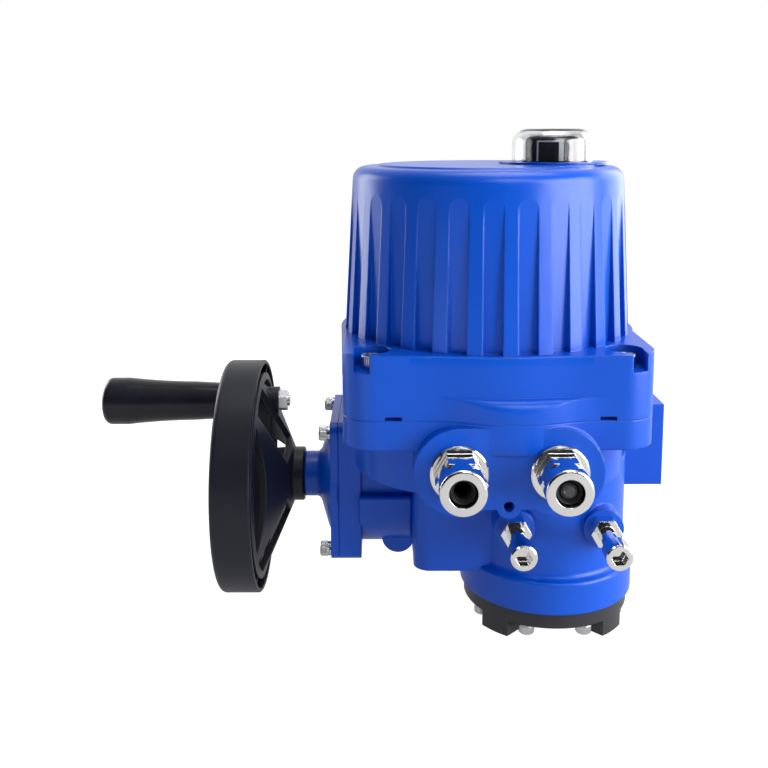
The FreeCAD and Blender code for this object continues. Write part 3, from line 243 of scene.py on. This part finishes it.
down = (0, 0, -1)
m8_washer_inner, m8_washer_outer, m8_washer = 0.00424, 0.00632, 0.002
m8_head_radius, m8_head = 0.0064, 0.008
bolt_circle, lug_height = 0.0625, 0.0135
ring_turns = [math.radians(22.5 + 45 * n) for n in range(8)]
ring_seats = [(bolt_circle * math.cos(turn), bolt_circle * math.sin(turn), lug_height) for turn in ring_turns]
ring_heads = [(x, y, z - m8_washer) for x, y, z in ring_seats]
split_washers("ring_spring_washers", "base_ring_washers", ring_seats, down,
              m8_washer_inner, m8_washer_outer, m8_washer)
knurls("ring_screw_knurls", ring_heads, down, m8_head_radius, m8_head)


# The base casting is sand-cast aluminium, shot-blasted and powder-coated blue: barrel, worm's neck, motor's
# pod, gland pads, tub and flange are one piece. The coat flows a little round the edges and into the corners.
def powder_coat(name, edge):
    """Blue powder coat over edges of this radius."""
    coat = Finish(name)
    drift = coat.noise(7.0, 3)
    peel = coat.noise(850.0, 1)
    hollow = coat.noise(26.0, 2)
    return coat.surface(
        Base_Color=coat.blend(drift, (0.0, 0.054, 0.40), (0.0, 0.068, 0.49)),
        Roughness=0.24 + 0.09 * drift + 0.04 * hollow, Specular_IOR_Level=0.36,
        Normal=coat.bump(peel, 0.0001, 0.14, coat.rounded(edge)))


blue_coat_on_base = powder_coat("blue_coat_on_base", 0.0022)
dress(blue_coat_on_base, "base_casting")

# Under the worm's axis the neck is cast wider, down to the side flange's lower edge: a half round swelling
# between that flange and the motor's pod, with a ledge along each side.
worm_y, worm_z = 0.062, 0.0985
neck_left, neck_right = -0.166, -0.1175
swell_radius, swell_root, swell_edge = 0.061, 0.047, 0.003
arc = [math.radians(180 + 5 * step) for step in range(37)]
spots = [(swell_radius, turn) for turn in arc] + [(swell_root, turn) for turn in reversed(arc)]
loop = [(worm_y + reach * math.cos(turn), worm_z + reach * math.sin(turn)) for reach, turn in spots]
count = len(loop)
swell_points = [(x, y, z) for x in (neck_left, neck_right) for y, z in loop]
swell_faces = [(n, (n + 1) % count, (n + 1) % count + count, n + count) for n in range(count)]
for outer in range(count // 2 - 1):
    inner = count - 1 - outer
    swell_faces.append((outer + 1, outer, inner, inner - 1))
    swell_faces.append((outer + count, outer + 1 + count, inner - 1 + count, inner + count))
swell = piece_of("neck_swelling", swell_points, swell_faces, blue_coat_on_base, "housing")
swell.data.shade_smooth()
soft_edge = swell.modifiers.new("cast_edge", "BEVEL")
soft_edge.width = swell_edge
soft_edge.segments = 4
soft_edge.limit_method = "ANGLE"
soft_edge.harden_normals = True

# The drive sleeve turns in bushes under the worm wheel. Sleeve and gear plate are ground steel, the plate's
# screws are stainless, the bearing carrier is iron, and the seal below it is nitrile rubber.
steel = Finish("ground_steel")
marks = steel.noise(800.0, 2)
ground_steel = steel.surface(
    Base_Color=steel.blend(marks, (0.3, 0.3, 0.32), (0.5, 0.5, 0.52)), Metallic=1.0,
    Roughness=0.28 + 0.15 * marks, Normal=steel.rounded(0.0005))
dress(ground_steel, "drive_sleeve", "gear_plate")
dress(stainless_steel, "gear_plate_screws")
iron = Finish("cast_iron")
skin = iron.noise(240.0, 4)
dress(iron.surface(
    Base_Color=iron.blend(skin, (0.05, 0.05, 0.052), (0.11, 0.11, 0.112)), Metallic=0.8,
    Roughness=0.5 + 0.2 * skin, Normal=iron.bump(skin, 0.0003, 0.4, iron.rounded(0.0008))), "bearing_carrier")
nitrile = Finish("nitrile_rubber")
mottle = nitrile.noise(300.0, 3)
nitrile_rubber = nitrile.surface(
    Base_Color=nitrile.blend(mottle, (0.008, 0.008, 0.009), (0.02, 0.02, 0.022)),
    Roughness=0.38 + 0.2 * mottle, Normal=nitrile.rounded(0.0004))
dress(nitrile_rubber, "output_seal")

# The worm wheel and the bushes are cast bronze, machined bright. The worm and its bearings are ground steel,
# behind a rubber shaft seal.
bronze = Finish("cast_bronze")
flecks = bronze.noise(200.0, 3)
dress(bronze.surface(
    Base_Color=bronze.blend(flecks, (0.5, 0.27, 0.09), (0.65, 0.4, 0.16)), Metallic=1.0,
    Roughness=0.3 + 0.15 * flecks, Normal=bronze.rounded(0.0004)), "worm_wheel", "lower_bush", "upper_bush")
dress(ground_steel, "worm_shaft", "worm_bearings")
dress(nitrile_rubber, "worm_seal")

# The side cover with its bell is a second casting in the same blue, on a black gasket. Four M8 socket screws
# with spring washers hold it to the base.
dress(powder_coat("blue_coat_on_side_cover", 0.0014), "worm_cover")
dress(nitrile_rubber, "worm_cover_gasket")
dress(stainless_steel, "worm_cover_bolts")
to_handwheel = (-1, 0, 0)
side_face, side_bolt_y, side_bolt_z = -0.1915, 0.046, 0.0545
corners = [(first, second) for first in (-1, 1) for second in (-1, 1)]
side_seats = [(side_face, worm_y + side_bolt_y * y, worm_z + side_bolt_z * z) for y, z in corners]
side_heads = [(x - m8_washer, y, z) for x, y, z in side_seats]
split_washers("side_spring_washers", "worm_cover_washers", side_seats, to_handwheel,
              m8_washer_inner, m8_washer_outer, m8_washer)
knurls("side_screw_knurls", side_heads, to_handwheel, m8_head_radius, m8_head)

# The motor hangs on its bracket beside the worm and drives it through three spur wheels. Its case is
# enamelled grey, and the wheels, rotor, bearings and bracket are steel.
dress(ground_steel, "worm_gear", "idler_gear", "idler_axle", "motor_rotor", "motor_bearings", "motor_bracket")


def moulded(name, first, second, rough, edge=0.0006):
    """A plain moulded, sprayed or printed surface with a fine speckle."""
    paint = Finish(name)
    speckle = paint.noise(350.0, 2)
    return paint.surface(Base_Color=paint.blend(speckle, first, second), Roughness=rough + 0.1 * speckle,
                         Normal=paint.rounded(edge))


dress(moulded("motor_enamel", (0.06, 0.065, 0.07), (0.1, 0.105, 0.11), 0.35), "motor_housing")

# A brushed aluminium plate on steel posts carries the electrics: terminals, capacitor, heater and switches,
# with a red cam for each end of the travel on the indicator's shaft.
plate = Finish("brushed_aluminium")
brush = plate.noise(60.0, 3, (1, 30, 1))
dress(plate.surface(
    Base_Color=plate.blend(brush, (0.5, 0.51, 0.52), (0.68, 0.69, 0.7)), Metallic=1.0,
    Roughness=0.26 + 0.18 * brush, Normal=plate.rounded(0.0004)), "chassis_plate", "heater")
dress(ground_steel, "chassis_posts", "switch_bracket", "indicator_shaft")
dress(stainless_steel, "chassis_screws")
dress(moulded("terminal_plastic", (0.16, 0.3, 0.18), (0.22, 0.38, 0.24), 0.4), "terminal_block")
dress(moulded("capacitor_plastic", (0.5, 0.5, 0.48), (0.6, 0.6, 0.58), 0.3), "run_capacitor")
dress(moulded("cam_plastic", (0.45, 0.05, 0.03), (0.55, 0.09, 0.05), 0.4), "open_cam", "close_cam")
dress(moulded("switch_plastic", (0.015, 0.015, 0.016), (0.03, 0.03, 0.032), 0.45), "limit_switches")

# The cable glands are brass, turned from hexagon bar and nickel-plated bright. Inside the caps are rubber
# rings, one of them stopped with a plug.
nickel = Finish("bright_nickel")
haze = nickel.noise(60.0, 2)
bright_nickel = nickel.surface(
    Base_Color=nickel.blend(haze, (0.78, 0.77, 0.76), (0.88, 0.87, 0.86)), Metallic=1.0,
    Roughness=0.05 + 0.06 * haze, Normal=nickel.rounded(0.0007))
dress(bright_nickel, "gland_bodies", "gland_caps")
dress(nitrile_rubber, "gland_seals")
dress(moulded("plug_plastic", (0.03, 0.03, 0.034), (0.05, 0.05, 0.055), 0.16), "gland_plug")

# The two travel stops are long screws with round socket heads, locked by hexagon nuts, plated like the
# glands.
dress(bright_nickel, "stop_screws", "stop_nuts")

# The cover is a deep finned casting in the same blue, on a rubber seal. Four M10 socket screws sit in wells
# in its flange.
blue_coat_on_cover = powder_coat("blue_coat_on_cover", 0.0016)
dress(blue_coat_on_cover, "top_cover")
dress(nitrile_rubber, "cover_seal")
dress(stainless_steel, "cover_bolts")
up = (0, 0, 1)
m10_head_radius, m10_head = 0.009, 0.0095
cover_x, cover_bolt, well_floor = -0.0555, 0.0965, 0.2428
cover_heads = [(cover_x + cover_bolt * x, cover_bolt * y, well_floor) for x, y in corners]
knurls("cover_screw_knurls", cover_heads, up, m10_head_radius, m10_head)

# Where the round cover stands out past the straight front of its flange, the casting is filled out on both
# sides, and below a soft crease it swells on, down into the bulge that carries the cable entries. It ends on
# the solid's own shelf, an arc whose centre lies in from the crease by shelf_in and down by shelf_down.
flange_front, foot_reach, foot_half = -0.1195, 0.0046, 0.066
bulge_x, bulge_half, bulge_depth = -0.045, 0.070, 0.0125
bulge_curve = (bulge_half ** 2 + bulge_depth ** 2) / (4 * bulge_depth)
crease, slope_height, least_height = 0.2246, 0.009, 0.001
shelf_round, shelf_in, shelf_down = 0.016, 0.00233, 0.01583
fairing_half, fairing_low, fairing_top = 0.072, 0.2085, 0.2562
coat_skin, rim_dip, rim_height, top_round = 0.00005, 0.00035, 0.003, 0.0012
low_back, top_back, top_lift = 0.001, 0.003, 0.00004


def bulge_reach(x):
    """How far the bulge stands out: two pairs of equal arcs, as in the solid below it."""
    away = min(abs(x - bulge_x), bulge_half)
    if away > bulge_half / 2:
        return bulge_curve - math.sqrt(bulge_curve ** 2 - (bulge_half - away) ** 2)
    return bulge_depth - bulge_curve + math.sqrt(bulge_curve ** 2 - away ** 2)


def fairing_reach(x, level):
    """How far the filled front stands out of the flange. Its rim dips under the solid, so no edge shows."""
    away = abs(x - cover_x)
    upper = foot_reach * (1 + math.cos(math.pi * min(1, away / foot_half))) / 2
    bulge, drop = bulge_reach(x), max(0, crease - level)
    step_out = max(0, bulge - upper)
    fall = min(1, drop / max(least_height, slope_height * step_out / (bulge_depth - foot_reach)))
    shelf = math.sqrt(shelf_round ** 2 - (shelf_down - min(drop, shelf_down)) ** 2) - shelf_in
    reach = max(upper + step_out * math.sqrt(1 - (1 - fall) ** 2), min(bulge, shelf) if drop > 0 else 0)
    rim = max((away - foot_half) / (fairing_half - foot_half), (fairing_low - level) / rim_height + 1, 0)
    return reach + coat_skin - rim_dip * rim ** 2


columns, slope_rows = 60, 12
fairing_levels = [fairing_low + rim_height * step / 2 for step in range(4)]
fairing_levels += [crease - slope_height * (step / slope_rows) ** 2 for step in range(slope_rows, -1, -1)]
fairing_levels += [crease + 0.0015, 0.232, 0.240, 0.248, fairing_top - top_round]
profile = len(fairing_levels) + 4
fairing_points, fairing_faces = [], []
for step in range(columns + 1):
    x = cover_x + fairing_half * (2 * step / columns - 1)
    top_front = flange_front - fairing_reach(x, fairing_top)
    fairing_points.append((x, flange_front + low_back, fairing_low))
    fairing_points += [(x, flange_front - fairing_reach(x, level), level) for level in fairing_levels]
    fairing_points += [(x, top_front + top_round / 3, fairing_top - top_round / 3),
                       (x, top_front + top_round, fairing_top),
                       (x, flange_front + top_back, fairing_top + top_lift)]
for start in range(0, columns * profile, profile):
    for side in range(profile):
        here, there = start + side, start + (side + 1) % profile
        fairing_faces.append((here, there, there + profile, here + profile))
fairing_faces += [tuple(range(profile - 1, -1, -1)), tuple(range(columns * profile, (columns + 1) * profile))]
fairing = piece_of("cover_front_fairing", fairing_points, fairing_faces, blue_coat_on_cover, "housing")
fairing.data.shade_smooth()
fairing.data.set_sharp_from_angle(angle=math.radians(75))

# The position dome is moulded in clear polycarbonate, which leaves a faint ripple in its skin. A blue bezel
# with four small screws holds it down on the cover.
dress(powder_coat("blue_coat_on_bezel", 0.0008), "dome_bezel")
dress(stainless_steel, "bezel_screws")
clear = Finish("clear_polycarbonate")
ripple = clear.noise(25.0, 1)
dress(clear.surface(
    Base_Color=(0.85, 0.86, 0.87, 1), Roughness=0.02, IOR=1.5, Transmission_Weight=1.0,
    Normal=clear.add("Bump", None, Strength=0.04, Distance=0.001, Height=ripple)), "indicator_dome")

# Under the dome turns a drum on the indicator's shaft: dark moulded plastic with a rounded top. On its front,
# pale
#  strips in an arched frame are painted highlights, standing in for the bright lines that show on the drum
#  through the dome.
drum_foot, drum_top, drum_radius, drum_round = 0.3952, 0.4186, 0.0226, 0.006
drum_rim = drum_top - drum_round
foot_band, spokes = 0.0006, 64


def drum_reach(level):
    """How far the drum's skin is from its axis at a level."""
    if level <= drum_rim:
        return drum_radius
    return drum_radius - drum_round + math.sqrt(max(0.0, drum_round ** 2 - (level - drum_rim) ** 2))


levels = [drum_foot, drum_foot + foot_band, drum_rim]
levels += [drum_rim + drum_round * math.sin(math.radians(10 * step)) for step in range(1, 10)]
turns = [2 * math.pi * n / spokes for n in range(spokes)]
drum_points = [(drum_reach(level) * math.cos(turn), drum_reach(level) * math.sin(turn), level)
               for level in levels for turn in turns]
top_ring = (len(levels) - 1) * spokes
drum_faces = [(ring + n, ring + (n + 1) % spokes, ring + spokes + (n + 1) % spokes, ring + spokes + n)
              for ring in range(0, top_ring, spokes) for n in range(spokes)]
drum_faces += [tuple(range(spokes - 1, -1, -1)), tuple(range(top_ring, top_ring + spokes))]
indicator_plastic = moulded("indicator_plastic", (0.012, 0.012, 0.016), (0.022, 0.022, 0.028), 0.18)
drum = piece_of("position_drum", drum_points, drum_faces, indicator_plastic, "output")
drum.data.shade_smooth()
drum.data.set_sharp_from_angle(angle=math.radians(40))
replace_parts(drum, "indicator_drum")
frame_left, frame_right, frame_level = -0.0150, 0.0030, 0.4126
frame_foot = drum_foot + 2 * foot_band
thin_line, broad_line, highlight_lift = 0.0006, 0.0019, 0.00012
frame_points, frame_faces = [], []


def painted_highlight_strip(spots, half, wide):
    """A strip of painted highlight on the drum's front, through (x, level) spots; wide names the way its
    width runs.
    """
    start = len(frame_points)
    for x, level in spots:
        for side in (-1, 1):
            across = x + side * half if wide == "x" else x
            height = level if wide == "x" else level + side * half
            reach = drum_reach(height) + highlight_lift
            frame_points.append((across, -math.sqrt(reach ** 2 - across ** 2), height))
    order = (0, 1, 3, 2) if wide == "x" else (1, 0, 2, 3)
    for low in range(start, len(frame_points) - 2, 2):
        frame_faces.append(tuple(low + corner for corner in order))


# The strips are painted highlight laid on the drum's skin, a thin one at the left, a broad one at the right
# and a thin one across the top.
rise = [frame_foot + (frame_level - frame_foot) * step / 10 for step in range(11)]
run = [frame_left - thin_line + (frame_right + broad_line - frame_left + thin_line) * step / 16
       for step in range(17)]
painted_highlight_strip([(frame_left, level) for level in rise], thin_line, "x")
painted_highlight_strip([(frame_right, level) for level in rise], broad_line, "x")
painted_highlight_strip([(x, frame_level) for x in run], thin_line, "level")
# Pale paint for the strips: painted highlight on the drum, not a printed mark.
pale_highlight_paint = moulded("pale_highlight_paint", (0.62, 0.62, 0.64), (0.7, 0.7, 0.72), 0.35, 0.0002)
piece_of("painted_highlight_frame", frame_points, frame_faces, pale_highlight_paint, "output")

# The handwheel is moulded in black glass-filled nylon, slightly grained, and held by a stainless grub screw
# in its hub.
nylon = Finish("black_nylon")
nylon_grain = nylon.noise(700.0, 2)
dress(nylon.surface(
    Base_Color=nylon.blend(nylon_grain, (0.006, 0.0065, 0.012), (0.012, 0.013, 0.02)),
    Roughness=0.34 + 0.12 * nylon_grain, Specular_IOR_Level=0.3,
    Normal=nylon.bump(nylon_grain, 0.0002, 0.15, nylon.rounded(0.0016))), "handwheel")
dress(stainless_steel, "hub_screw")

# The revolving grip is polished phenolic on a stainless axle, which a nut holds to the rim. A cap closes its
# end.
phenolic = Finish("polished_phenolic")
cloud = phenolic.noise(40.0, 2)
dress(phenolic.surface(
    Base_Color=phenolic.blend(cloud, (0.006, 0.006, 0.011), (0.012, 0.012, 0.019)),
    Roughness=0.2 + 0.08 * cloud, Specular_IOR_Level=0.3, Normal=phenolic.rounded(0.0012)),
    "handle_grip", "grip_cap")
dress(stainless_steel, "handle_axle", "handle_nut")

# The floor is a wide sheet of white paper, lit through from below, just under the base ring's screws. It runs
# into the white behind, and gives the object less light than it shows.
floor_level, floor_side, floor_front, floor_back = -0.011, 6, -4, 8
paper = Finish("lit_paper")
fibre = paper.noise(3.0, 2)
paper_skin = paper.add("BsdfDiffuse", None, paper.blend(fibre, (0.18, 0.18, 0.18), (0.2, 0.2, 0.2)))
paper_seen = paper.add("LightPath", output=0)
paper_glow = paper.add("Emission", None, Color=(1, 1, 1, 1), Strength=0.4 + 0.6 * paper_seen)
paper.add("OutputMaterial", None, paper.add("AddShader", None, paper_skin, paper_glow))
sheet_corners = [(-floor_side, floor_front, 0), (floor_side, floor_front, 0),
                 (floor_side, floor_back, 0), (-floor_side, floor_back, 0)]
floor_mesh = bpy.data.meshes.new("floor")
floor_mesh.from_pydata(sheet_corners, [], [(0, 1, 2, 3)])
floor_mesh.materials.append(paper.owner)
floor = bpy.data.objects.new("floor", floor_mesh)
floor.location = (0, 0, floor_level)
bpy.context.scene.collection.objects.link(floor)

# The studio is white behind and overhead, and falls off to dark in front, so that satin and plated surfaces
# have something dark to mirror. What is seen past the object is plain white.
world = bpy.data.worlds.new("studio")
studio = Finish("studio", world)
_, north, above = studio.parts(studio.add("TexCoord", output=0))
glow = studio.ease(north, 0.0, 1.0, 0.02, 1.0) + studio.ease(above, 0.6, 0.95, 0.0, 0.35)
seen = studio.add("LightPath", output=0)
strength = seen + (1 - seen) * glow
studio.add("OutputWorld", None, studio.add("Background", None, Color=(1, 1, 1, 1), Strength=strength))
bpy.context.scene.world = world


# Six soft boxes: two large ones at the right, a strip behind at the left for the rims, a fill high in front,
# one low at the left, which gives light but no reflection, and a top light.
def softbox(name, spot, aim, width, height, power, mirrored=True):
    """A rectangular light that faces its aim."""
    light = bpy.data.lights.new(name, "AREA")
    light.shape = "RECTANGLE"
    light.size = width
    light.size_y = height
    light.energy = power
    lamp = bpy.data.objects.new(name, light)
    lamp.location = spot
    lamp.visible_glossy = mirrored
    lamp.rotation_euler = (Vector(aim) - Vector(spot)).to_track_quat("-Z", "Y").to_euler()
    bpy.context.scene.collection.objects.link(lamp)


softbox("key", (1.2, -0.6, 0.6), (0, 0, 0.22), 1.3, 1.3, 48)
softbox("right_rear", (1.1, 0.8, 0.5), (0, 0, 0.22), 1.1, 1.3, 13)
softbox("left_strip", (-1.4, 0.9, 0.4), (-0.05, 0, 0.22), 0.8, 1.4, 16)
softbox("front_fill", (0.35, -1.35, 1.5), (-0.05, 0, 0.2), 0.8, 0.6, 8)
softbox("low_fill", (-0.75, -0.95, 0.06), (-0.12, 0, 0.1), 0.5, 0.4, 5, mirrored=False)
softbox("top", (0.1, 0.1, 1.5), (0, 0, 0.3), 0.8, 0.8, 9)
bpy.context.scene.view_settings.view_transform = "Standard"
